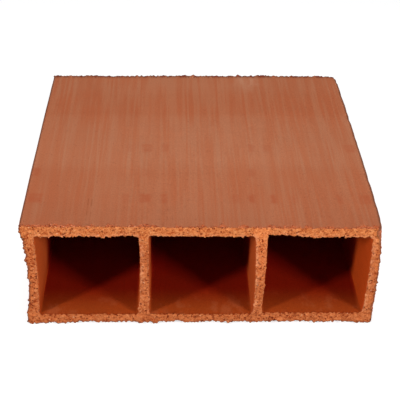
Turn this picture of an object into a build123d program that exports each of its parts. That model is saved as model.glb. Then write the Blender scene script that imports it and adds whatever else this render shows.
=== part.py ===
"""Hollow block of fired brick clay, with three open cells side by side.

The block is pushed through a die as one long column and cut off by wire, so it is
one prism: walls, webs and cells run straight from one cut end to the other.
It lies flat, cells level. X runs across the cells, Y along them and Z up.
The origin is at the middle of the underside, and the front cut end faces -Y.
"""

import os

from build123d import *

# Overall size in millimetres. The width is taken corner to corner.
length = 300.0
width = 302.0
height = 99.0

# Walls and webs. Both side walls are thickest at their corners.
left_wall = 12.5
right_wall = 8.5
top_wall = 9.0
bottom_wall = 10.5
web = 9.4

# The middle cell. The two outer cells share what the walls and webs leave.
middle_cell = 90.0

# Drying and firing drew both side walls a little towards +X, at half height most.
left_face_hollow = 4.2
right_face_bow = 1.4
right_cell_bow = 2.3

# Radii that the die leaves, and the broken edge that the wire leaves.
arris_radius = 2.5
cell_corner_radius = 2.5
cut_edge_break = 0.8

# Sections are drawn as seen from the front and pushed forward from the back end.
back_end = Plane.XZ.offset(-length / 2)
left_edge = -(width + right_face_bow) / 2
right_edge = left_edge + width
cell_floor = bottom_wall
cell_roof = height - top_wall
outer_cell = (width - left_wall - right_wall - middle_cell - 2 * web) / 2


def side_wall(foot, top, bow):
    """Side of a section, drawn from foot to top and bowed towards +X by bow."""
    if bow:
        SagittaArc(foot, top, -bow)
    else:
        Line(foot, top)


with BuildPart() as clay_block:
    # The column without its cells: flat beds, a hollow left face, a bowed right one.
    with BuildSketch(back_end) as outline:
        with BuildLine():
            Line((left_edge, 0), (right_edge, 0))
            side_wall((right_edge, 0), (right_edge, height), right_face_bow)
            Line((right_edge, height), (left_edge, height))
            side_wall((left_edge, 0), (left_edge, height), left_face_hollow)
        make_face()
        fillet(outline.vertices(), arris_radius)
    extrude(amount=length)

    # The cells run right through. Only the last one has a bowed side, its outer one.
    left = left_edge + left_wall
    for cell_width, bow in (
        (outer_cell, 0),
        (middle_cell, 0),
        (outer_cell, right_cell_bow),
    ):
        right = left + cell_width
        with BuildSketch(back_end) as cell:
            with BuildLine():
                Line((left, cell_floor), (right, cell_floor))
                side_wall((right, cell_floor), (right, cell_roof), bow)
                Line((right, cell_roof), (left, cell_roof))
                Line((left, cell_roof), (left, cell_floor))
            make_face()
            fillet(cell.vertices(), cell_corner_radius)
        extrude(amount=length, mode=Mode.SUBTRACT)
        left = right + web

    # The wire breaks every edge of both cut ends a little.
    cut_ends = clay_block.faces().filter_by(Axis.Y)
    chamfer(cut_ends.edges(), cut_edge_break)

clay_block.part.label = "clay_block"

os.makedirs("parts", exist_ok=True)
export_step(clay_block.part, "parts/clay_block.step")
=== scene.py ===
"""Looks of the hollow clay block: torn wire-cut ends, drawn skins, and its studio.

The solid block is stood in for by one dressed mesh with the same section. The clay, in
its mesh and its materials, is given in millimetres, and the studio in metres.
X runs across the cells, Y along them from the front end to the back, and Z up.
"""

import math
from typing import NamedTuple

import bmesh
import bpy
import numpy as np
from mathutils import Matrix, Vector, noise
from mathutils.geometry import delaunay_2d_cdt
from mathutils.kdtree import KDTree


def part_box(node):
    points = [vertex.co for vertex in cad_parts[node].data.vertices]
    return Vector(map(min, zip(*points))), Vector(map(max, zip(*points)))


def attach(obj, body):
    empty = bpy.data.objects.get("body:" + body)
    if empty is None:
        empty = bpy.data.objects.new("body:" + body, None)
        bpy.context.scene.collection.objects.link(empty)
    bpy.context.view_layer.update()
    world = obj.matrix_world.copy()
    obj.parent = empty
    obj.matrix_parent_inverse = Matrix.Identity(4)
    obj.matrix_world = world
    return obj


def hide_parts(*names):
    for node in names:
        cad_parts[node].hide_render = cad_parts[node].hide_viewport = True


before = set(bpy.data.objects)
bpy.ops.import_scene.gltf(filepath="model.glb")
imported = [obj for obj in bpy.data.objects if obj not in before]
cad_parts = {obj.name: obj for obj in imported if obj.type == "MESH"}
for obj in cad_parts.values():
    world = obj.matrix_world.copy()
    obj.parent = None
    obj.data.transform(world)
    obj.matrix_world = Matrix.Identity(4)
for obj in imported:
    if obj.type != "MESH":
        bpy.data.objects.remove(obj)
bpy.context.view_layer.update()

# One millimetre in metres, and the solid's length and height in millimetres.
MM = 0.001
node_low, node_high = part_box("clay_block")
length = (node_high.y - node_low.y) / MM
height = (node_high.z - node_low.z) / MM

# The drawn section in millimetres, left to right as the front end shows it.
width = 302.0
left_face_hollow = 4.2
right_face_bow = 1.4
left_edge = -(width + right_face_bow) / 2
right_edge = left_edge + width
arris_radius = 2.2


class Cell(NamedTuple):
    """One cell as it came out of the kiln. A side is the X of its foot and of its head
    and how far it bows towards +X between them. The roof is its height at the left and
    at the right, and roof_step says between which shares of the width it changes.
    Corner radii run anticlockwise from the foot of the left side. Drips says how much
    clay the wire left hanging from the roof."""

    left: tuple
    right: tuple
    floor: float
    roof: tuple
    roof_step: tuple
    corners: tuple
    drips: float


CELLS = (
    Cell(
        left=(-139.9, -139.8, 1.4),
        right=(-53.9, -52.5, 1.5),
        floor=9.0,
        roof=(89.3, 90.4),
        roof_step=(0.72, 0.86),
        corners=(1.8, 2.2, 3.2, 1.8),
        drips=3.2,
    ),
    Cell(
        left=(-44.3, -43.6, 0.2),
        right=(45.7, 45.2, 1.2),
        floor=9.2,
        roof=(89.9, 89.5),
        roof_step=(0.3, 0.7),
        corners=(2.2, 3.4, 2.6, 1.6),
        drips=2.8,
    ),
    Cell(
        left=(53.8, 55.6, 0.4),
        right=(140.5, 142.8, 1.3),
        floor=10.8,
        roof=(91.3, 88.6),
        roof_step=(0.10, 0.40),
        corners=(1.8, 3.0, 2.2, 2.0),
        drips=1.2,
    ),
)

# Drying left the top a little twisted: how far its corners stand under or over the
# solid's height.
top_lift_left = 0.2
front_right_drop = 2.1
back_right_drop = 0.1

# The upper arrises also bulge outward in plan: how far, where along the block the
# bulge is largest, and how far from there it has gone.
LEFT_BULGE = (0.9, -90.0, 190.0)
RIGHT_BULGE = (1.5, -45.0, 190.0)

# Handling wore the upper right arris away towards the front end: how far at the very
# end, and over what length it fades.
front_wear = 1.9
front_wear_length = 9.0

# The same arris is nicked all along: how deep, and how long a nick is.
arris_nicks = 1.6
nick_size = 11.0

# Corners knocked off: place, reach and depth, and how a depth of one is shared out to
# the three directions.
CHIPS = (
    ((151.0, -150.0, 97.0), 7.0, 1.0),
    ((151.0, 150.0, 99.0), 8.0, 2.0),
)
chip_x, chip_y, chip_z = 0.8, 0.6, 0.3

# Spacing of the mesh on the cut ends, and how far in from them it is that fine.
grain_pitch = 0.74
fine_depths = (0.0, 0.35, 0.8, 1.4, 2.2, 3.3, 4.8, 7.0)
half_depths = (10.0, 14.0)
coarse_step = 9.0

# How many fine points on each side of a rounded corner every ring keeps, and for how
# many of the others one point stands far in from the ends.
corner_points = 5
coarse_skip = 4

# Holes in the cut ends, in millimetres.
hole_spacing = 5.6
hole_radius = (0.45, 1.05)
hole_depth = 0.9

# Surface kinds, which are also the order of the mesh's materials.
DRAWN, CELL, TORN = 0, 1, 2

# Marks that each point of the mesh carries for its material, and the places of two. The
# lip mark places a painted highlight, and the arris and hole marks place painted shade.
MARKS = ("torn", "lip_highlight", "arris_shade", "hole_and_shade")
LIP_HIGHLIGHT = MARKS.index("lip_highlight")
ARRIS_SHADE = MARKS.index("arris_shade")


def waves(x, y, z, size, seed=0.0):
    """Smooth noise from about -1 to 1, with lumps of the given size in millimetres. Each
    seed gives another pattern, and a plain number in the place of X, Y or Z picks one
    that stays the same in that direction."""
    return noise.noise(Vector((x / size + seed, y / size - seed, z / size + 2 * seed)))


def crumbs(x, y, z, size, seed=0.0):
    """Rounded lumps with sharp creases between them, from about -0.4 to 0.8."""
    return 2.2 * abs(waves(x, y, z, size, seed)) - 0.4


def smooth(value, low, high):
    """0 under low, 1 over high, and a smooth rise between them."""
    t = min(1.0, max(0.0, (value - low) / (high - low)))
    return t * t * (3 - 2 * t)


def rounded_rectangle(left, right, low, high, radii, pitch):
    """Points and outward normals round a rectangle, evenly spaced and anticlockwise.
    The radii start at the lower left corner."""
    foot_left, foot_right, head_right, head_left = radii
    sides = (
        ((left, low), (1, 0), right - left, foot_left, foot_right),
        ((right, low), (0, 1), high - low, foot_right, head_right),
        ((right, high), (-1, 0), right - left, head_right, head_left),
        ((left, high), (0, -1), high - low, head_left, foot_left),
    )
    straight = [span - before - after for _, _, span, before, after in sides]
    total = sum(straight) + math.pi / 2 * sum(radii)
    count = 4 * round(total / pitch / 4)
    points = []
    normals = []
    for i in range(count):
        along = total * i / count
        for ((x, z), (dx, dz), span, before, after), run in zip(sides, straight):
            if along < run:
                step = before + along
                points.append((x + dx * step, z + dz * step))
                normals.append((dz, -dx))
                break
            along -= run
            if along < math.pi / 2 * after:
                turn = math.atan2(-dx, dz) + along / after
                nx = math.cos(turn)
                nz = math.sin(turn)
                step = span - after
                round_x = x + dx * step + after * (nx - dz)
                round_z = z + dz * step + after * (nz + dx)
                points.append((round_x, round_z))
                normals.append((nx, nz))
                break
            along -= math.pi / 2 * after
    return np.array(points), np.array(normals)


def hump(z, low, high):
    """1 at half height, falling to 0 at the foot and the head of a wall."""
    return 1 - ((2 * z - low - high) / (high - low)) ** 2


def outer_loop():
    """The outline, with its hollow left face and bowed right one."""
    points, normals = rounded_rectangle(
        left_edge, right_edge, 0, height, (arris_radius,) * 4, grain_pitch
    )
    across = (points[:, 0] - left_edge) / width
    bow = left_face_hollow * (1 - across) + right_face_bow * across
    points[:, 0] += bow * hump(points[:, 1], 0, height)
    return points, normals


def cell_loop(cell):
    """One cell's outline. Its normals point into the cell, away from the clay."""
    span = cell.right[0] - cell.left[0]
    points, normals = rounded_rectangle(
        0, span, cell.floor, cell.roof[0], cell.corners, grain_pitch
    )
    across = points[:, 0] / span
    up = (points[:, 1] - cell.floor) / (cell.roof[0] - cell.floor)
    sides = []
    for foot, head, bow in (cell.left, cell.right):
        sides.append(foot + (head - foot) * up + bow * hump(points[:, 1], cell.floor, cell.roof[0]))
    points[:, 0] = sides[0] + (sides[1] - sides[0]) * across
    step = np.array([smooth(share, *cell.roof_step) for share in across])
    points[:, 1] += (cell.roof[1] - cell.roof[0]) * step * up
    return points, -normals


def bulge(y, shape):
    """How far an upper arris stands out at a place along the block."""
    most, middle, fade = shape
    return most * (1 - ((y - middle) / fade) ** 2)


# Where drying and wear act, from where to where they set in: across the block for its two
# sides, and in height for the bulge, the lift of the top, the wear and the nicks.
left_side = (-140.0, -151.0)
right_side = (138.0, 149.0)
bulged_part = (60.0, 96.0)
lifted_part = (80.0, 96.0)
worn_part = (72.0, 90.0)
nicked_part = (84.0, 97.0)


def fired_place(x, y, z):
    """Where a point of the drawn section ended up after drying, firing and handling."""
    left = smooth(x, *left_side)
    right = smooth(x, *right_side)
    across = (x - left_edge) / width
    along = y / length + 0.5
    right_drop = back_right_drop * along + front_right_drop * (1 - along)
    lift = top_lift_left * (1 - across) - right_drop * across
    wear = front_wear * math.exp(-along * length / front_wear_length) * smooth(z, *worn_part)
    wear += arris_nicks * max(0.0, waves(0, y, 0, nick_size, 91.0)) * smooth(z, *nicked_part)
    out = right * (bulge(y, RIGHT_BULGE) * smooth(z, *bulged_part) - wear)
    out -= left * bulge(y, LEFT_BULGE) * smooth(z, *bulged_part)
    return x + out, z + lift * smooth(z, *lifted_part)


# Bites and spurs that the wire left down the sides of the front end: height, depth
# (spurs below zero) and half width, in millimetres.
LEFT_BITES = (
    (98.0, 0.4, 3.0),
    (84.3, 1.7, 1.9),
    (77.6, -0.8, 1.2),
    (71.2, 1.5, 1.9),
    (64.8, -1.7, 1.2),
    (61.4, -0.5, 1.2),
    (57.3, 1.4, 1.7),
    (47.3, -1.0, 1.2),
    (42.0, 1.2, 1.4),
    (30.5, 0.8, 4.5),
    (19.5, 0.6, 1.5),
    (10.0, -0.9, 3.5),
    (0.0, 2.6, 2.6),
)
RIGHT_BITES = (
    (94.5, 2.4, 5.5),
    (69.0, 0.4, 1.8),
    (64.0, -0.5, 3.0),
    (46.0, 0.5, 2.0),
    (37.0, 0.5, 4.0),
    (29.0, 0.9, 3.5),
    (16.5, 1.9, 5.0),
)

# The lower corners of the front end hang a little: from where to where, and how far.
HANGING_CORNERS = ((-92.0, -144.0, 2.3), (134.0, 148.0, 1.2))

# The pattern of the tears at the front end, -1, and at the back end, 1.
TEAR_SEEDS = {-1: 3.1, 1: 31.7}


def bitten(z, bites):
    """How deep the bites go at one height."""
    return sum(depth * math.exp(-(((z - place) / half) ** 2)) for place, depth, half in bites)


def cell_tear(x, z, nx, nz, drips, clear, seed):
    """How far the torn edge of a cell's mouth stands into the cell, in millimetres, and
    how notched it is, from 0 to 1. Clay drips from the roof by up to drips, clear of the
    corners by the distance given, and is nicked off the floor."""
    roof = max(0.0, -nz)
    floor = max(0.0, nz)
    side = abs(nx)
    broad = crumbs(x, 0, z, 6.0, seed)
    small = crumbs(x, 9, z, 2.4, seed)
    slow = waves(x, 20, z, 12.0, seed)
    drip = max(0.0, waves(x, 30, z, 2.0, seed) - 0.02) * smooth(clear, 1.0, 6.0)
    nick = max(0.0, waves(x, 50, z, 1.9, seed) - 0.12)
    notch = floor * smooth(waves(x, 40, z, 1.9, seed), 0.02, 0.26)
    out = (0.6 * roof + 0.45 * floor + 0.55 * side) * (0.5 * broad + 0.8 * small)
    out += (drips * roof + 0.6 * floor) * drip + (0.5 * roof + 0.3 * side) * slow
    out -= (1.8 * roof + 1.3 * side) * nick
    out += 0.4 * roof - 0.1 * side - 0.1 * floor - 1.1 * notch
    out *= 1 - 0.6 * roof * smooth(clear, 8.0, 3.0)
    corner = (1 - max(abs(nx), abs(nz))) / (1 - math.sqrt(0.5))
    return out * (1 - 0.7 * smooth(corner, 0.0, 0.6)), notch


def outer_tear(x, z, nx, nz, end, seed):
    """How far the torn outer edge of a cut end stands out, in millimetres."""
    under = max(0.0, -nz)
    over = max(0.0, nz)
    left = max(0.0, -nx)
    right = max(0.0, nx)
    broad = crumbs(x, 0, z, 7.0, seed)
    small = crumbs(x, 9, z, 2.6, seed)
    slow = waves(x, 20, z, 13.0, seed)
    burr = max(0.0, waves(x, 30, z, 3.0, seed) - 0.12)
    ragged = 1.5 * under + 0.8 * left + 0.55 * right + 0.9 * over
    burred = 2.1 * under + 1.0 * left + 0.3 * right + 1.1 * over
    out = ragged * (0.6 * broad + 0.7 * small) + burred * burr + 1.1 * under * slow
    out -= 0.4 * under + 0.5 * right
    if end > 0:
        out += 0.2 * over
    else:
        out -= left * bitten(z, LEFT_BITES) + right * bitten(z, RIGHT_BITES)
        for start, stop, hang in HANGING_CORNERS:
            out += under * hang * smooth(x, start, stop)
    return out


def skin_wave(x, y, z):
    """Slow unevenness of the drawn faces, in millimetres."""
    return 0.30 * waves(x, y * 0.5, z, 55.0, 7.7) + 0.12 * waves(x, y * 0.6, z, 16.0, 2.7)


def knock(x, y, z):
    """Where a point is once the chipped corners are off, towards the block's middle."""
    for (cx, cy, cz), reach, depth in CHIPS:
        away = math.dist((x, y, z), (cx, cy, cz)) / reach
        if away < 1:
            rough = 1 + 0.35 * waves(x, y, z, 2.5, cx)
            lost = depth * rough * (1 - away * away)
            x -= math.copysign(chip_x * lost, cx)
            y -= math.copysign(chip_y * lost, cy)
            z -= chip_z * lost
    return x, y, z


class Shell:
    """Points and faces of one mesh, with four marks on each point, from 0 to 1: how torn
    it is, how near the lip of a cell, for its painted highlight, how near an arris, for its
    painted shade, and how deep in a hole or nick, for its painted shade."""

    def __init__(self):
        self.points = []
        self.marks = []
        self.faces = []
        self.kinds = []

    def point(self, place, torn, lip_highlight, arris_shade, hole_and_shade):
        self.points.append(place)
        self.marks.append((torn, lip_highlight, arris_shade, hole_and_shade))
        return len(self.points) - 1

    def face(self, corners, kind):
        self.faces.append(corners)
        self.kinds.append(kind)


def stations():
    """Places along the length, front to back, as distance from the nearer end, end
    sign and how many fine points one ring point stands for."""
    near = [(d, 1) for d in fine_depths] + [(d, 2) for d in half_depths]
    first = half_depths[-1] + coarse_step / 2
    steps = round((length - 2 * first) / coarse_step)
    middle = [first + (length - 2 * first) * i / steps for i in range(steps + 1)]
    front = [(d, -1, skip) for d, skip in near]
    back = [(d, 1, skip) for d, skip in reversed(near)]
    coarse = [(min(y, length - y), -1 if y < length / 2 else 1, coarse_skip) for y in middle]
    return front + coarse + back


def corner_places(normals):
    """Which points of a loop lie on its rounded corners or close beside them."""
    rounded = np.abs(normals).min(axis=1) > 0.01
    near = rounded.copy()
    for step in range(1, corner_points + 1):
        near |= np.roll(rounded, step) | np.roll(rounded, -step)
    return near


def flake_depth(x, z, end, is_cell, cell_floor):
    """How far in from a cut end its torn flakes reach, in millimetres."""
    flake = waves(x, 80, z, 6.0, end)
    flake_edge = waves(x, 90, z, 2.2, end)
    if is_cell:
        return 0.9 + 1.2 * flake + 0.9 * flake_edge - 3.5 * cell_floor
    if end > 0:
        return 0.7 + 1.6 * flake + 0.9 * flake_edge
    corner = smooth(abs(x), 122.0, 146.0)
    return 3.0 + 5.2 * flake + 3.0 * flake_edge + 2.0 * corner


def outer_marks(x, z, nx, nz, depth, end):
    """How near an arris a point of the outline is, for the painted shade along the arrises,
    and how deep in a nick. The arris of the back end is broken and nicked along the top."""
    from_side = min(x - left_edge, right_edge - x)
    from_bed = min(z, height - z)
    arris_shade = 0.8 * smooth(math.hypot(from_side, from_bed), 2.8, 1.2)
    if end < 0:
        outer = 0.8 * abs(nx) + 0.5 * max(0.0, -nz)
        return max(arris_shade, outer * math.exp(-depth / 1.2)), 0.0
    top = max(0.0, nz)
    broken = min(1.0, 0.9 + 1.0 * waves(x, 70, z, 5.0, end))
    broken_width = 2.0 + 1.9 * top
    nicked = top * smooth(waves(x, 75, z, 4.5, end), -0.08, 0.2)
    arris_shade = max(arris_shade, broken * math.exp(-((depth / broken_width) ** 2)))
    return arris_shade, nicked * math.exp(-((depth / 3.6) ** 2))


def ring(shell, points, normals, tears, depth, end, skip, is_cell):
    """One ring of a loop at a distance from a cut end. It has every point at the corners
    and one in skip between them. Returns point numbers by their places in the loop."""
    numbers = {}
    reach = math.exp(-((depth / 1.8) ** 2))
    at_corner = corner_places(normals)
    for i in range(len(points)):
        if i % skip and not at_corner[i]:
            continue
        x, z = points[i]
        nx, nz = normals[i]
        tear, notch = tears[i]
        y = end * (length / 2 - depth)
        cell_floor = max(0.0, nz) if is_cell else 0.0
        flaked = flake_depth(x, z, end, is_cell, cell_floor)
        torn = smooth(depth, flaked + 0.5, flaked - 0.5)
        out = skin_wave(x, y, z) + reach * tear
        out += torn * (0.7 * crumbs(x, y, z, 2.4, 5.0) - 0.45)
        setback = 0.5 + 0.8 * waves(x, 60, z, 3.0, end)
        y -= end * setback * math.exp(-depth / 1.1)
        if is_cell:
            # Painted highlight on the lip of a cell's mouth, stronger on the cell's right side and
            # none on its floor.
            lip_highlight = math.exp(-depth / 0.8) * (1 - cell_floor) * (0.7 - 0.3 * nx)
            arris_shade = 0.0
            # The hole mark is painted shade, in the notches of a cell's floor and along the floor's
            # front edge.
            hole_and_shade = max(notch, 0.5 * cell_floor) * math.exp(-depth / 1.5)
        else:
            lip_highlight = 0.0
            arris_shade, hole_and_shade = outer_marks(x, z, nx, nz, depth, end)
            x, z = fired_place(x, y, z)
        x += nx * out
        z += nz * out
        if not is_cell:
            x, y, z = knock(x, y, z)
        numbers[i] = shell.point((x, y, z), torn, lip_highlight, arris_shade, hole_and_shade)
    return numbers


def join_rings(shell, first, second, kind):
    """Faces between two rings, of which one may leave out points of the other."""
    full, sparse = (first, second) if len(first) >= len(second) else (second, first)
    closed = list(full.items()) + [next(iter(full.items()))]
    a = sparse[0]
    run = [full[0]]
    for place, number in closed[1:]:
        run.append(number)
        if place not in sparse:
            continue
        b = sparse[place]
        if len(run) == 2:
            shell.face((run[0], run[1], b, a), kind)
        else:
            half = len(run) // 2
            for i, (start, stop) in enumerate(zip(run, run[1:])):
                shell.face((start, stop, a if i < half else b), kind)
            shell.face((run[half], b, a), kind)
        a = b
        run = [number]


def inside(points, polygon):
    """Which of the points lie inside a closed polygon, by counting crossings."""
    result = np.zeros(len(points), bool)
    px = points[:, 0]
    pz = points[:, 1]
    for (ax, az), (bx, bz) in zip(polygon, np.roll(polygon, -1, axis=0)):
        if az != bz:
            crosses = (az > pz) != (bz > pz)
            result ^= crosses & (px < (bx - ax) * (pz - az) / (bz - az) + ax)
    return result


def on_clay(points, rims):
    """Which of the points lie inside the outline, the first rim, and outside the cells."""
    keep = inside(points, rims[0])
    for rim in rims[1:]:
        keep &= ~inside(points, rim)
    return keep


def search_tree(places):
    """A tree that finds the nearest of some places on a cut end."""
    tree = KDTree(len(places))
    for i, (x, z) in enumerate(places):
        tree.insert((x, z, 0), i)
    tree.balance()
    return tree


def grain_points(rims, end):
    """Scattered points over the clay of a cut end, clear of its rims."""
    scatter = np.random.default_rng(12 + end)
    low = rims[0].min(axis=0)
    high = rims[0].max(axis=0)
    row_pitch = grain_pitch * math.sqrt(3) / 2
    rows = np.arange(low[1], high[1], row_pitch)
    spots = []
    for number, z in enumerate(rows):
        xs = np.arange(low[0] + grain_pitch / 2 * (number % 2), high[0], grain_pitch)
        spots.append(np.column_stack([xs, np.full(len(xs), z)]))
    spots = np.concatenate(spots)
    spots += scatter.uniform(-0.2, 0.2, spots.shape) * grain_pitch
    return spots[on_clay(spots, rims)]


def pulled_holes(low, high, end):
    """Holes that pulled-out grit left on a cut end: a search tree and their sizes."""
    scatter = np.random.default_rng(40 + end)
    count = int((high[0] - low[0]) * (high[1] - low[1]) / hole_spacing**2)
    places = scatter.uniform(low, high, (count, 2))
    radii = scatter.uniform(*hole_radius, count)
    return search_tree(places), radii


def face_relief(x, z, rim_distance, end):
    """Height of a torn cut end over its plane, in millimetres, at most about zero."""
    drag = waves(x * 0.6, 0, z, 14.0, 11.0 * end)
    coarse = crumbs(x * 0.7, 5, z, 4.2, 17.0 * end)
    fine = crumbs(x, 7, z, 1.9, 23.0 * end)
    rounding = 0.5 * math.exp(-rim_distance / 0.7)
    return -0.85 + 0.2 * drag + 0.5 * coarse + 0.5 * fine - rounding


def cut_end(shell, rings, end):
    """Fills one cut end between the outline and the cells with a grainy surface."""
    rim_numbers = [number for numbers in rings for number in numbers.values()]
    flat = np.array([(shell.points[n][0], shell.points[n][2]) for n in rim_numbers])
    rims = []
    edges = []
    start = 0
    for numbers in rings:
        count = len(numbers)
        rims.append(flat[start : start + count])
        edges += [(start + i, start + (i + 1) % count) for i in range(count)]
        start += count
    tree = search_tree(flat)
    holes, radii = pulled_holes(rims[0].min(axis=0), rims[0].max(axis=0), end)
    numbers = list(rim_numbers)
    spots = [Vector(p) for p in flat]
    for x, z in grain_points(rims, end):
        _, rim_point, distance = tree.find((x, z, 0))
        if distance > 0.6 * grain_pitch:
            _, nearest, away = holes.find((x, z, 0))
            hole_and_shade = smooth(away / radii[nearest], 1.0, 0.5)
            relief = face_relief(x, z, distance, end)
            # Painted shade in the deepest hollows of the relief, away from the rims.
            crease_shade = 0.55 * smooth(relief, -0.95, -1.25) * smooth(distance, 0.8, 1.6)
            relief -= hole_and_shade * hole_depth
            # The deepest creases of the relief join the hole mark, as painted shade.
            hole_and_shade = max(hole_and_shade, crease_shade)
            rim_marks = shell.marks[rim_numbers[rim_point]]
            # The painted highlight of a cell's lip spreads onto the cut end.
            lip_highlight = rim_marks[LIP_HIGHLIGHT]
            lip_highlight *= math.exp(-((distance / (0.4 + 2.2 * lip_highlight)) ** 2))
            # The painted shade of an arris reaches a little way onto the cut end.
            arris_shade = rim_marks[ARRIS_SHADE] * math.exp(-((distance / 0.9) ** 2))
            y = end * (length / 2 + relief)
            numbers.append(shell.point((x, y, z), 1.0, lip_highlight, arris_shade, hole_and_shade))
            spots.append(Vector((x, z)))
    found = delaunay_2d_cdt(spots, edges, [], 0, 1e-6)
    places = [numbers[source[0]] for source in found[3]]
    triangles = np.array(found[2])
    coords = np.array([tuple(v) for v in found[0]])
    centres = coords[triangles].mean(axis=1)
    for corners in triangles[on_clay(centres, rims)]:
        shell.face(tuple(places[c] for c in corners), TORN)


def loop_tears(points, normals, end, cell):
    """How far each point of a loop is torn outward at one cut end, and how notched."""
    seed = TEAR_SEEDS[end]
    first = points[:, 0].min()
    last = points[:, 0].max()
    tears = []
    for (x, z), (nx, nz) in zip(points, normals):
        if cell:
            clear = min(x - first, last - x)
            tears.append(cell_tear(x, z, nx, nz, cell.drips, clear, seed))
        else:
            tears.append((outer_tear(x, z, nx, nz, end, seed), 0.0))
    return tears


def dressed_block():
    """The whole block as one closed mesh with its three materials."""
    shell = Shell()
    end_rings = {-1: [], 1: []}
    for cell in (None, *CELLS):
        points, normals = cell_loop(cell) if cell else outer_loop()
        tears = {end: loop_tears(points, normals, end, cell) for end in end_rings}
        rings = [
            ring(shell, points, normals, tears[end], depth, end, skip, bool(cell))
            for depth, end, skip in stations()
        ]
        for first, second in zip(rings, rings[1:]):
            join_rings(shell, first, second, CELL if cell else DRAWN)
        end_rings[-1].append(rings[0])
        end_rings[1].append(rings[-1])
    for end, rings in end_rings.items():
        cut_end(shell, rings, end)
    return shell


def new_object(name, data):
    """A new object in the scene, from its mesh, lamp or camera."""
    obj = bpy.data.objects.new(name, data)
    bpy.context.scene.collection.objects.link(obj)
    return obj


def mesh_object(name, shell, materials):
    """Turns a shell into an object in metres, with its normals outward."""
    mesh = bpy.data.meshes.new(name)
    mesh.from_pydata([Vector(p) * MM for p in shell.points], [], shell.faces)
    for material in materials:
        mesh.materials.append(material)
    mesh.polygons.foreach_set("material_index", shell.kinds)
    for mark, values in zip(MARKS, zip(*shell.marks)):
        attribute = mesh.attributes.new(mark, "FLOAT", "POINT")
        attribute.data.foreach_set("value", values)
    work = bmesh.new()
    work.from_mesh(mesh)
    bmesh.ops.recalc_face_normals(work, faces=work.faces)
    work.to_mesh(mesh)
    work.free()
    mesh.polygons.foreach_set("use_smooth", [True] * len(mesh.polygons))
    return new_object(name, mesh)


def srgb(red, green, blue):
    """A colour written in 0 to 255 display values, as the linear colour Blender takes."""
    linear = []
    for value in (red, green, blue):
        value /= 255
        linear.append(value / 12.92 if value <= 0.04045 else ((value + 0.055) / 1.055) ** 2.4)
    return (*linear, 1.0)


class Nodes:
    """Short calls that add and link the nodes of one material or group."""

    def __init__(self, tree):
        self.tree = tree

    def add(self, kind, settings=None, **inputs):
        """A new node. Inputs go by their names, with _ for a space."""
        node = self.tree.nodes.new("ShaderNode" + kind)
        for name, value in (settings or {}).items():
            setattr(node, name, value)
        for name, value in inputs.items():
            self.feed(node.inputs[name.replace("_", " ")], value)
        return node

    def feed(self, socket, value):
        if isinstance(value, bpy.types.NodeSocket):
            self.tree.links.new(value, socket)
        else:
            socket.default_value = value

    def math(self, operation, *values, kind="Math"):
        node = self.add(kind, {"operation": operation})
        for socket, value in zip(node.inputs, values):
            self.feed(socket, value)
        return node.outputs[0]

    def chain(self, operation, *values):
        """One operation over several values, one after another."""
        result = values[0]
        for value in values[1:]:
            result = self.math(operation, result, value)
        return result

    def weighted(self, *parts):
        """Sum of several values, each given with its weight."""
        total = 0.0
        for value, weight in parts:
            total = self.math("MULTIPLY_ADD", value, weight, total)
        return total

    def distance(self, value, place):
        """How far a value is from a place, on either side."""
        return self.math("ABSOLUTE", self.math("SUBTRACT", value, place))

    def split(self, vector):
        """X, Y and Z of a vector."""
        return self.add("SeparateXYZ", Vector=vector).outputs

    def ramp(self, value, low, high, to_low=0.0, to_high=1.0, kind="SMOOTHSTEP"):
        """A step from to_low where the value is low to to_high where it is high."""
        node = self.add("MapRange", {"interpolation_type": kind})
        for name, setting in (
            ("Value", value),
            ("From Min", low),
            ("From Max", high),
            ("To Min", to_low),
            ("To Max", to_high),
        ):
            self.feed(node.inputs[name], setting)
        return node.outputs[0]

    def mix(self, factor, first, second, blend="MIX"):
        """Mixes two colours. The sockets are numbered, because their names repeat."""
        node = self.add("Mix", {"data_type": "RGBA", "blend_type": blend})
        self.feed(node.inputs[0], factor)
        self.feed(node.inputs[6], first)
        self.feed(node.inputs[7], second)
        return node.outputs[2]

    def curve(self, value, stops):
        """Smooth steps through stops, each a value and its result from 0 to 1."""
        low = stops[0][0]
        high = stops[-1][0]
        node = self.add("ValToRGB", Fac=self.ramp(value, low, high, kind="LINEAR"))
        node.color_ramp.interpolation = "EASE"
        elements = node.color_ramp.elements
        elements[0].color = (stops[0][1],) * 3 + (1.0,)
        elements[1].color = (stops[-1][1],) * 3 + (1.0,)
        for place, result in stops[1:-1]:
            elements.new((place - low) / (high - low)).color = (result,) * 3 + (1.0,)
        return node.outputs["Color"]

    def place(self, scale=(1, 1, 1)):
        """Place on the block, in millimetres, stretched by scale."""
        here = self.add("TexCoord").outputs["Object"]
        return self.math("MULTIPLY", here, [factor / MM for factor in scale], kind="VectorMath")

    def depth(self):
        """Distance from the nearer cut end, in millimetres."""
        here = self.split(self.add("TexCoord").outputs["Object"])
        from_middle = self.math("ABSOLUTE", here["Y"])
        return self.math("DIVIDE", self.math("SUBTRACT", length * MM / 2, from_middle), MM)

    def bend(self, vector, size, reach):
        """The vector pushed about by noise, so that round spots turn ragged."""
        push = self.add("TexNoise", Vector=vector, Scale=1.0 / size).outputs["Color"]
        push = self.math("SUBTRACT", push, (0.5, 0.5, 0.5), kind="VectorMath")
        return self.math("MULTIPLY_ADD", push, (reach, reach, reach), vector, kind="VectorMath")

    def noise(self, vector, size, detail=2.0, roughness=0.5):
        """Noise with lumps of the given size in millimetres, from 0 to 1."""
        node = self.add("TexNoise", Vector=vector, Detail=detail, Roughness=roughness)
        self.feed(node.inputs["Scale"], self.math("DIVIDE", 1.0, size))
        return node.outputs["Fac"]

    def attribute(self, name):
        return self.add("Attribute", {"attribute_name": name}).outputs["Fac"]

    def group(self, group, **inputs):
        return self.add("Group", {"node_tree": group}, **inputs).outputs


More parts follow.
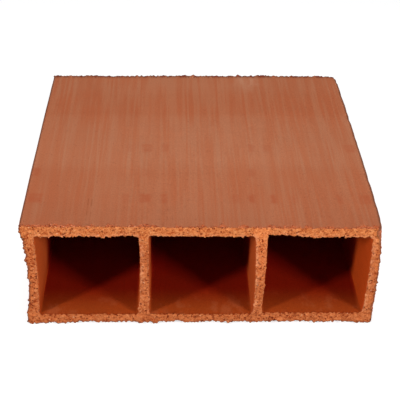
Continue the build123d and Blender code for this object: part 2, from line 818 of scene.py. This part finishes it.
def new_group(name, inputs, outputs):
    """An empty shader node group. Inputs are (name, kind, default)."""
    tree = bpy.data.node_groups.new(name, "ShaderNodeTree")
    for label, kind, default in inputs:
        socket = tree.interface.new_socket(label, in_out="INPUT", socket_type="NodeSocket" + kind)
        socket.default_value = default
    for label, kind in outputs:
        tree.interface.new_socket(label, in_out="OUTPUT", socket_type="NodeSocket" + kind)
    entry = tree.nodes.new("NodeGroupInput").outputs
    leave = tree.nodes.new("NodeGroupOutput").inputs
    return Nodes(tree), entry, leave


def clay_grain_group():
    """Coarse sand in the clay: its tone, pinholes whose darkness is painted shade, dragged
    smears, rare pale specks that are painted glints, and the height that they give."""
    nodes, entry, leave = new_group(
        "clay_grain",
        [("Size", "Float", 1.4), ("Holes", "Float", 0.4)],
        [(name, "Float") for name in ("Tone", "Hole_and_shade", "Smear", "Glint", "Height")],
    )
    place = nodes.place()
    broad = nodes.noise(place, nodes.math("MULTIPLY", entry["Size"], 4.0), 2.0, 0.5)
    coarse = nodes.noise(place, nodes.math("MULTIPLY", entry["Size"], 1.8), 3.0, 0.6)
    fine = nodes.noise(place, nodes.math("MULTIPLY", entry["Size"], 0.8), 3.0, 0.65)
    tone = nodes.weighted((broad, 0.20), (coarse, 0.30), (fine, 0.50))
    cells = nodes.add("TexVoronoi", Vector=nodes.bend(place, 1.6, 1.3))
    nodes.feed(cells.inputs["Scale"], nodes.math("DIVIDE", 0.6, entry["Size"]))
    chance = nodes.add("SeparateColor", Color=cells.outputs["Color"])
    rarest = nodes.math("SUBTRACT", 1.0, entry["Holes"])
    reach = nodes.ramp(chance.outputs["Red"], rarest, 1.0, 0.02, 0.52)
    # The hole darkens the colour as painted shade and lowers the height.
    hole_and_shade = nodes.ramp(cells.outputs["Distance"], reach, nodes.math("MULTIPLY", reach, 0.4))
    # Rare pale specks: painted glints.
    glinting = nodes.ramp(chance.outputs["Green"], 0.97, 0.99, 0.0, 0.6)
    glint = nodes.math("MULTIPLY", glinting, nodes.ramp(cells.outputs["Distance"], 0.30, 0.12))
    dragged = nodes.noise(nodes.bend(nodes.place((0.42, 1.0, 1.0)), 3.0, 1.5), 1.7, 2.0, 0.5)
    nodes.feed(leave["Tone"], tone)
    nodes.feed(leave["Hole_and_shade"], hole_and_shade)
    nodes.feed(leave["Smear"], nodes.ramp(dragged, 0.60, 0.72))
    nodes.feed(leave["Glint"], glint)
    nodes.feed(leave["Height"], nodes.math("SUBTRACT", tone, nodes.math("MULTIPLY", hole_and_shade, 0.7)))
    return nodes.tree


def die_streak_group():
    """Streaks that the die drew along the block: bands, lines that are stronger in some
    places and short dabs, crossed by faint bands where the column paused."""
    nodes, entry, leave = new_group(
        "die_streaks",
        [("Band", "Float", 9.0), ("Line", "Float", 1.6), ("Patch", "Float", 45.0)],
        [("Hue", "Float"), ("Light", "Float"), ("Height", "Float")],
    )
    band = nodes.noise(nodes.place((1.0, 0.06, 1.0)), entry["Band"], 2.0, 0.5)
    lines = nodes.noise(nodes.place((1.0, 0.022, 1.0)), entry["Line"], 2.0, 0.6)
    strong = nodes.noise(nodes.place((1.0, 0.05, 1.0)), 17.0, 1.0)
    strong = nodes.ramp(strong, 0.36, 0.60, 0.45, 1.75)
    lines = nodes.math("MULTIPLY_ADD", nodes.math("SUBTRACT", lines, 0.5), strong, 0.5)
    dabs = nodes.noise(nodes.place((1.0, 0.16, 1.0)), 6.0, 3.0, 0.6)
    patches = nodes.noise(nodes.place((1.0, 0.6, 1.0)), entry["Patch"], 3.0, 0.6)
    pauses = nodes.noise(nodes.place((0.10, 1.0, 0.10)), 11.0, 2.0, 0.5)
    dust = nodes.noise(nodes.place((1.0, 0.8, 1.0)), 1.1, 2.0, 0.6)
    hue = ((band, 0.37), (lines, 0.35), (dabs, 0.12), (patches, 0.16))
    light = ((lines, 0.08), (band, 0.08), (patches, 0.18), (pauses, 0.06), (dust, 0.60))
    nodes.feed(leave["Hue"], nodes.weighted(*hue))
    nodes.feed(leave["Light"], nodes.weighted(*light))
    nodes.feed(leave["Height"], nodes.math("MULTIPLY_ADD", dust, 0.3, lines))
    return nodes.tree


GRAIN = clay_grain_group()
STREAKS = die_streak_group()

# Colours of the fired clay, as display values under plain light. Some of them are
# painted shade, a painted highlight or painted glints, as marked.
skin_dull = srgb(181, 115, 82)
skin_red = srgb(176, 101, 66)
dab_red = srgb(166, 80, 46)
scratch_brown = srgb(140, 72, 38)
bloom_pale = srgb(196, 142, 112)
# Painted shade along the arrises, where the rounded edges turn away from the light.
arris_shade_brown = srgb(100, 56, 37)
torn_dark = srgb(148, 54, 14)
torn_mid = srgb(210, 122, 74)
torn_light = srgb(223, 147, 102)
torn_smear = srgb(162, 66, 28)
flake_dark = srgb(144, 58, 26)
flake_mid = srgb(188, 96, 54)
flake_pale = srgb(216, 140, 106)
# Painted shade in the creases of the torn flakes.
crease_shade_brown = srgb(104, 38, 16)
# Painted highlight on the pale lips of the cells.
lip_highlight_pink = srgb(216, 140, 98)
# Painted shade in holes, nicks and creases.
hole_shade_dark = srgb(108, 28, 3)
# Painted glints on the cut ends.
glint_pale = srgb(240, 196, 160)
mouth_wall = srgb(181, 78, 31)
right_wall = srgb(182, 69, 19)
# Painted shade at the foot of the left cell's left wall.
left_wall_foot_shade = srgb(175, 67, 21)
# Painted shade: the cell floors are darker than their walls.
mouth_floor_shade = srgb(153, 61, 18)
floor_dust = srgb(167, 84, 46)
# Painted shade deeper in the cells, first on the floors and then on the walls.
inner_floor_shade = srgb(132, 24, 2)
deep_red_shade = srgb(138, 15, 2)

# How red the drawn skin is along the block, from 0 to 1: places towards the back end in
# millimetres from the middle, and the factor on its colour where it is reddest.
REDNESS = (
    (-150.0, 0.82),
    (-125.0, 0.64),
    (-95.0, 0.66),
    (-64.0, 0.60),
    (-34.0, 0.0),
    (-5.0, 0.13),
    (30.0, 0.32),
    (46.0, 0.52),
    (64.0, 1.0),
    (90.0, 0.94),
    (130.0, 0.52),
    (150.0, 0.50),
)
reddest = srgb(248, 231, 218)

# Painted shade on the cut ends, as a factor on the colour: darker and redder low down
# than high up. From the middle to the right web, at this place across, the ends grow paler
# by a factor, which is painted light, and the upper part of that web is paler still by a share.
low_painted_shade = srgb(229, 218, 203)
high_painted_light = srgb(244, 243, 225)
right_web = 50.0
right_painted_light = 1.01
web_gain = 0.18

# Red dabs where the column paused in the die. They lie in rows across the block: the
# place of a row along the block, and for the dabs of the top face their places across,
# half widths and strengths. Other faces have dabs on lines of their own. The reach is
# where a dab sets in and is full along the block, and the blur is that of its sides.
DAB_ROWS = (
    (
        -103.0,
        (
            (-143.0, 6.0, 0.8),
            (-65.0, 3.0, 0.3),
            (-48.0, 4.8, 0.9),
            (-31.4, 2.6, 0.8),
            (31.0, 3.0, 0.7),
            (44.7, 2.8, 0.9),
            (63.7, 2.6, 0.9),
            (81.0, 2.6, 0.3),
            (120.8, 2.2, 0.6),
            (142.5, 5.0, 0.8),
        ),
    ),
    (-58.0, ((-147.2, 3.4, 0.7), (-48.5, 3.4, 0.25), (46.7, 3.2, 0.5))),
    (
        -11.5,
        (
            (-64.1, 2.6, 0.3),
            (-48.1, 4.6, 0.5),
            (-31.2, 3.2, 0.4),
            (49.7, 3.0, 0.45),
            (63.8, 3.2, 0.35),
            (142.7, 5.5, 0.5),
        ),
    ),
)
dab_reach = (9.6, 5.0)
dab_blur = 1.8

# Heights between which the dabs and scratches of the top face set in.
top_face = (88.0, 96.0)

# Fine scratches along the top face near the front end: place across, and from where to
# where along the block.
SCRATCHES = ((-96.6, -150.0, -103.0), (-93.5, -150.0, -104.0))
scratch_width = 0.7

# The pale patch on the top face: place across and half width, place along and half
# length, and strength.
BLOOM = (54.0, 19.0, 140.0, 38.0, 0.5)


def torn_colour(nodes, grain):
    """Orange of the torn clay with holes and grains. Painted shade and light make it darker
    and redder low down, paler and yellower high up and paler towards the right. The dark
    holes are painted shade and the rare pale specks are painted glints.
    """
    tone = grain["Tone"]
    colour = nodes.mix(nodes.ramp(tone, 0.38, 0.51), torn_dark, torn_mid)
    colour = nodes.mix(nodes.ramp(tone, 0.51, 0.64), colour, torn_light)
    colour = nodes.mix(nodes.math("MULTIPLY", grain["Smear"], 0.45), colour, torn_smear)
    here = nodes.split(nodes.place())
    # Painted shade and light: darker and redder low on the cut ends, paler and yellower high up.
    painted_shade = nodes.mix(nodes.ramp(here["Z"], 70.0, 94.0), low_painted_shade, high_painted_light)
    colour = nodes.mix(1.0, colour, painted_shade, "MULTIPLY")
    # Painted light makes the ends paler towards the right; the upper right web is paler still.
    painted_light_and_pale_web = nodes.ramp(here["X"], 0.0, right_web, 1.0, right_painted_light)
    pale_web = nodes.ramp(nodes.distance(here["X"], right_web), 9.0, 4.0, 0.0, web_gain)
    high_up = nodes.ramp(here["Z"], 40.0, 65.0)
    painted_light_and_pale_web = nodes.math("MULTIPLY_ADD", pale_web, high_up, painted_light_and_pale_web)
    colour = nodes.mix(1.0, colour, painted_light_and_pale_web, "MULTIPLY")
    # Painted shade in the pinholes.
    colour = nodes.mix(grain["Hole_and_shade"], colour, hole_shade_dark)
    # Painted glints.
    return nodes.mix(grain["Glint"], colour, glint_pale)


def pale_lip_highlights(nodes, colour):
    """Broken pale edge that the wire left round the mouths of the cells, brightened as a
    painted highlight where the rounded lip catches the light.
    """
    patchy = nodes.ramp(nodes.noise(nodes.place(), 3.2), 0.42, 0.60, 0.05, 0.7)
    return nodes.mix(nodes.math("MULTIPLY", nodes.attribute("lip_highlight"), patchy), colour, lip_highlight_pink)


def paused_rows(nodes, skin):
    """Red dabs in rows across the drawn faces, with slightly uneven edges."""
    here = nodes.split(nodes.bend(nodes.place(), 5.0, 3.6))
    uneven = nodes.ramp(nodes.noise(nodes.place(), 6.0, 3.0, 0.6), 0.36, 0.56, 0.42, 0.75)
    top = nodes.ramp(here["Z"], *top_face)
    others = nodes.ramp(nodes.noise(nodes.place((1.0, 0.0, 1.0)), 9.0, 1.0), 0.60, 0.66, 0.0, 0.7)
    others = nodes.math("MULTIPLY", others, nodes.math("SUBTRACT", 1.0, top))
    for row, dabs in DAB_ROWS:
        marks = []
        for place, half, strength in dabs:
            away = nodes.distance(here["X"], place)
            marks.append(nodes.ramp(away, half + dab_blur, half - dab_blur, 0.0, strength))
        marked = nodes.math("MULTIPLY_ADD", nodes.chain("MAXIMUM", *marks), top, others)
        in_row = nodes.ramp(nodes.distance(here["Y"], row), *dab_reach)
        skin = nodes.mix(nodes.chain("MULTIPLY", marked, in_row, uneven), skin, dab_red)
    return skin


def scratches(nodes, skin):
    """Fine dark scratches along the top face, worn away here and there."""
    here = nodes.split(nodes.place())
    top = nodes.ramp(here["Z"], *top_face)
    worn = nodes.ramp(nodes.noise(nodes.place(), 8.0, 1.0), 0.38, 0.56, 0.15, 0.6)
    for across, start, stop in SCRATCHES:
        line = nodes.ramp(nodes.distance(here["X"], across), scratch_width, 0.2)
        before_stop = nodes.ramp(here["Y"], stop, stop - 2.0)
        after_start = nodes.ramp(here["Y"], start - 2.0, start)
        amount = nodes.chain("MULTIPLY", line, before_stop, after_start, top, worn)
        skin = nodes.mix(amount, skin, scratch_brown)
    return skin


def pale_bloom(nodes, skin):
    """Faint pale patch that salts left on the top face near the back end, streaked as
    the skin is."""
    here = nodes.split(nodes.bend(nodes.place(), 9.0, 14.0))
    across, half_width, along, half_length, strength = BLOOM
    in_width = nodes.ramp(nodes.distance(here["X"], across), half_width, 0.0, 0.0, strength)
    in_length = nodes.ramp(nodes.distance(here["Y"], along), half_length, 0.0)
    streaky = nodes.ramp(nodes.noise(nodes.place((1.0, 0.15, 1.0)), 4.0), 0.36, 0.60, 0.3, 1.0)
    top = nodes.ramp(here["Z"], 80.0, 92.0)
    amount = nodes.chain("MULTIPLY", in_width, in_length, streaky, top)
    return nodes.mix(amount, skin, bloom_pale)


def finish_material(nodes, colour, height, depth, roughness, specular):
    """Closes a material: its colour, a bump of the given depth in millimetres, its
    roughness and how strongly it reflects."""
    bump = nodes.add("Bump", Height=height, Strength=1.0, Distance=depth * MM)
    shader = nodes.add("BsdfPrincipled", Base_Color=colour, Normal=bump.outputs["Normal"])
    shader.inputs["Roughness"].default_value = roughness
    shader.inputs["Specular IOR Level"].default_value = specular
    nodes.add("OutputMaterial", Surface=shader.outputs["BSDF"])


def new_material(name):
    material = bpy.data.materials.new(name)
    material.use_nodes = True
    material.node_tree.nodes.clear()
    return material, Nodes(material.node_tree)


def streaked_skin(nodes, streaks):
    """Pinkish brown skin of the drawn faces, with drawn streaks and redder zones, painted
    shade towards the front end and painted light towards the back.
    """
    here = nodes.split(nodes.place())
    from_middle = nodes.math("ABSOLUTE", here["X"])
    outward = nodes.ramp(from_middle, 50.0, 115.0, -0.01, 0.02)
    contrast = nodes.ramp(here["Y"], 15.0, 60.0, 0.85, 1.25)
    hue = nodes.math("SUBTRACT", streaks["Hue"], 0.5)
    hue = nodes.math("MULTIPLY_ADD", hue, contrast, nodes.math("ADD", outward, 0.5))
    skin = nodes.mix(nodes.ramp(hue, 0.39, 0.61), skin_dull, skin_red)
    light = nodes.ramp(streaks["Light"], 0.30, 0.70, 0.86, 1.10)
    skin = nodes.mix(1.0, skin, light, "MULTIPLY")
    # Painted shade towards the front end and painted light towards the back; the sides are a little
    # darker.
    front = nodes.ramp(here["Y"], -150.0, -80.0, 0.94, 1.0)
    back = nodes.ramp(here["Y"], -150.0, 50.0, 0.968, 1.034, "LINEAR")
    sides = nodes.ramp(from_middle, 50.0, 115.0, 1.0, 0.985)
    skin = nodes.mix(1.0, skin, nodes.chain("MULTIPLY", front, back, sides), "MULTIPLY")
    return nodes.mix(nodes.curve(here["Y"], REDNESS), skin, reddest, "MULTIPLY")


def torn_flakes(nodes, grain):
    """Creased flakes that the wire tore from the drawn faces along the ends, with painted
    shade in their creases and holes.
    """
    flake = nodes.mix(nodes.ramp(grain["Tone"], 0.40, 0.50), flake_dark, flake_mid)
    flake = nodes.mix(nodes.ramp(grain["Tone"], 0.52, 0.62), flake, flake_pale)
    wander = nodes.noise(nodes.place(), 4.5, 2.0, 0.6)
    # Painted shade along the flakes' creases.
    crease_shade = nodes.ramp(nodes.distance(wander, 0.5), 0.035, 0.01)
    flake = nodes.mix(nodes.math("MULTIPLY", crease_shade, 0.7), flake, crease_shade_brown)
    flake = nodes.mix(grain["Hole_and_shade"], flake, hole_shade_dark)
    at_cut = nodes.ramp(nodes.depth(), 1.6, 0.5)
    return nodes.mix(at_cut, flake, torn_colour(nodes, grain))


def drawn_skin():
    """Outer faces: pinkish brown skin with drawn streaks and dabs, redder in zones, with
    torn flakes along the ends and dark arrises, which are painted shade."""
    material, nodes = new_material("drawn_skin")
    grain = nodes.group(GRAIN, Size=1.3, Holes=0.12)
    streaks = nodes.group(STREAKS, Band=8.0, Line=2.8, Patch=45.0)
    skin = streaked_skin(nodes, streaks)
    skin = paused_rows(nodes, skin)
    skin = scratches(nodes, skin)
    skin = pale_bloom(nodes, skin)
    # Painted shade in the skin's pinholes.
    skin = nodes.mix(nodes.math("MULTIPLY", grain["Hole_and_shade"], 0.18), skin, hole_shade_dark)
    ends = nodes.group(GRAIN, Size=1.3, Holes=0.45)
    torn = nodes.ramp(nodes.attribute("torn"), 0.2, 0.7)
    colour = nodes.mix(torn, skin, torn_flakes(nodes, ends))
    # Painted shade along the arrises.
    colour = nodes.mix(nodes.attribute("arris_shade"), colour, arris_shade_brown)
    # Painted shade in holes and nicks.
    colour = nodes.mix(nodes.attribute("hole_and_shade"), colour, hole_shade_dark)
    height = nodes.math("MULTIPLY_ADD", streaks["Height"], 0.5, grain["Height"])
    height = nodes.math("MULTIPLY_ADD", nodes.math("MULTIPLY", ends["Height"], torn), 3.0, height)
    finish_material(nodes, colour, height, depth=0.12, roughness=0.85, specular=0.25)
    return material


def cell_skin():
    """Walls of the cells: orange red near the mouths and deep red within, where the floors
    turn red sooner than the sides. The floors' darker colour, the darkening inward and the
    darker foot of the left wall are painted shade."""
    material, nodes = new_material("cell_skin")
    grain = nodes.group(GRAIN, Size=1.3, Holes=0.12)
    streaks = nodes.group(STREAKS, Band=8.0, Line=1.8, Patch=30.0)
    inward = nodes.depth()
    facing = nodes.split(nodes.add("NewGeometry").outputs["Normal"])
    side = nodes.ramp(nodes.math("ABSOLUTE", facing["X"]), 0.5, 0.9)
    here = nodes.split(nodes.place())
    wall = nodes.mix(nodes.ramp(here["X"], 100.0, 130.0), mouth_wall, right_wall)
    at_left = nodes.ramp(here["X"], -120.0, -130.0)
    foot_shade = nodes.ramp(here["Z"], 28.0, 10.0)
    # Painted shade at the foot of the left wall.
    wall = nodes.mix(nodes.math("MULTIPLY", at_left, foot_shade), wall, left_wall_foot_shade)
    dusty = nodes.noise(nodes.place((1.0, 0.6, 1.0)), 15.0, 3.0, 0.6)
    floor = nodes.mix(nodes.ramp(dusty, 0.52, 0.68, 0.0, 0.5), mouth_floor_shade, floor_dust)
    # Painted shade: the floor darkens inward.
    floor = nodes.mix(nodes.ramp(inward, 6.0, 42.0), floor, inner_floor_shade)
    # Painted shade: the floors take a darker colour than the walls.
    skin = nodes.mix(side, floor, wall)
    # Painted shade: deeper in, everything darkens to deep red.
    skin = nodes.mix(nodes.ramp(inward, 50.0, 88.0), skin, deep_red_shade)
    light = nodes.ramp(streaks["Light"], 0.38, 0.62, 0.88, 1.08)
    skin = nodes.mix(1.0, skin, light, "MULTIPLY")
    ends = nodes.group(GRAIN, Size=1.2, Holes=0.45)
    torn = nodes.ramp(nodes.attribute("torn"), 0.3, 0.9)
    colour = nodes.mix(torn, skin, torn_colour(nodes, ends))
    # Painted highlight on the cell lips.
    colour = pale_lip_highlights(nodes, colour)
    # Painted shade in holes and notches.
    colour = nodes.mix(nodes.attribute("hole_and_shade"), colour, hole_shade_dark)
    height = nodes.math("MULTIPLY_ADD", streaks["Height"], 0.6, grain["Height"])
    finish_material(nodes, colour, height, depth=0.12, roughness=0.8, specular=0.06)
    return material


def torn_cut():
    """Wire-cut ends: torn grainy orange clay with pinholes, smears and pale cell lips. The
    dark pinholes, creases and arrises are painted shade, and the lips carry a painted highlight.
    """
    material, nodes = new_material("torn_cut")
    holes = nodes.ramp(nodes.split(nodes.place())["Z"], 82.0, 92.0, 0.50, 0.18)
    grain = nodes.group(GRAIN, Size=1.4, Holes=holes)
    # Painted highlight on the cell lips.
    colour = pale_lip_highlights(nodes, torn_colour(nodes, grain))
    # Painted shade in pulled holes and creases.
    pulled_shade = nodes.math("MULTIPLY", nodes.attribute("hole_and_shade"), 0.85)
    colour = nodes.mix(pulled_shade, colour, hole_shade_dark)
    # Painted shade along the arrises of the cut ends.
    colour = nodes.mix(nodes.attribute("arris_shade"), colour, arris_shade_brown)
    finish_material(nodes, colour, grain["Height"], depth=0.42, roughness=0.9, specular=0.08)
    return material


def build_block():
    """Puts the dressed block in the place of the solid one."""
    block = mesh_object("dressed_block", dressed_block(), [drawn_skin(), cell_skin(), torn_cut()])
    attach(block, "root")
    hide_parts("clay_block")
    return block


# Studio, in metres and degrees. The camera looks down by its tilt, and the lamps are
# aimed at a height over the block's underside.
floor_side = 8.0
floor_glow = 0.62
floor_dim = srgb(196, 196, 196)
floor_pale = srgb(201, 201, 201)
white = srgb(255, 255, 255)
white_level = 1.0
fill_light = 0.15
aim_height = 0.05
camera_place = (-0.02365, -0.8817, 0.5688)
camera_tilt = 31.22


def build_floor(level):
    """Pale floor that the camera sees as white, with the block's soft shadow on it."""
    mesh = bpy.data.meshes.new("floor")
    half = floor_side / 2
    corners = [(-half, -half, 0), (half, -half, 0), (half, half, 0), (-half, half, 0)]
    mesh.from_pydata(corners, [], [(0, 1, 2, 3)])
    floor = new_object("floor", mesh)
    floor.location.z = level
    material, nodes = new_material("pale_floor")
    paper = nodes.noise(nodes.place(), 300.0)
    matt = nodes.add("BsdfDiffuse", Color=nodes.mix(paper, floor_dim, floor_pale))
    seen = nodes.add("LightPath").outputs["Is Camera Ray"]
    glow = nodes.add("Emission", Color=white, Strength=nodes.math("MULTIPLY", seen, floor_glow))
    both = nodes.add("AddShader")
    nodes.feed(both.inputs[0], matt.outputs[0])
    nodes.feed(both.inputs[1], glow.outputs[0])
    nodes.add("OutputMaterial", Surface=both.outputs[0])
    mesh.materials.append(material)


def build_world():
    """Even fill light, seen as white by the camera."""
    world = bpy.data.worlds.new("studio")
    world.use_nodes = True
    world.node_tree.nodes.clear()
    nodes = Nodes(world.node_tree)
    seen = nodes.add("LightPath").outputs["Is Camera Ray"]
    strength = nodes.ramp(seen, 0.0, 1.0, fill_light, white_level)
    back = nodes.add("Background", Color=white, Strength=strength)
    nodes.add("OutputWorld", Surface=back.outputs[0])
    bpy.context.scene.world = world


def softbox(name, azimuth, elevation, distance, size, power):
    """Lamp of the given width and height, aimed at the block. Azimuth is from the front,
    positive to the right."""
    lamp = bpy.data.lights.new(name, "AREA")
    lamp.shape = "RECTANGLE"
    lamp.size, lamp.size_y = size
    lamp.energy = power
    obj = new_object(name, lamp)
    flat = distance * math.cos(math.radians(elevation))
    turn = math.radians(azimuth)
    offset = Vector((flat * math.sin(turn), -flat * math.cos(turn), 0))
    offset.z = distance * math.sin(math.radians(elevation))
    obj.location = Vector((0, 0, aim_height)) + offset
    obj.rotation_euler = (-offset).to_track_quat("-Z", "Y").to_euler()


def build_camera():
    """Camera of the photo: straight on, a little left of the middle, looking down."""
    camera = bpy.data.cameras.new("camera")
    camera.sensor_width = 36.0
    camera.lens = 94.6
    camera.shift_x = 0.0675
    camera.clip_end = 20.0
    obj = new_object("camera", camera)
    obj.location = camera_place
    obj.rotation_euler = (math.radians(90 - camera_tilt), 0, 0)
    bpy.context.scene.camera = obj


block = build_block()
lowest = min(vertex.co.z for vertex in block.data.vertices)
build_floor(lowest)
build_world()
softbox("left_softbox", azimuth=-49.2, elevation=24, distance=1.6, size=(0.17, 0.37), power=15.1)
softbox("right_softbox", azimuth=42.8, elevation=24, distance=1.6, size=(0.32, 0.37), power=16.1)
softbox("top_softbox", azimuth=0, elevation=86, distance=2.2, size=(1.2, 1.2), power=19)
build_camera()
bpy.context.scene.view_settings.view_transform = "Standard"
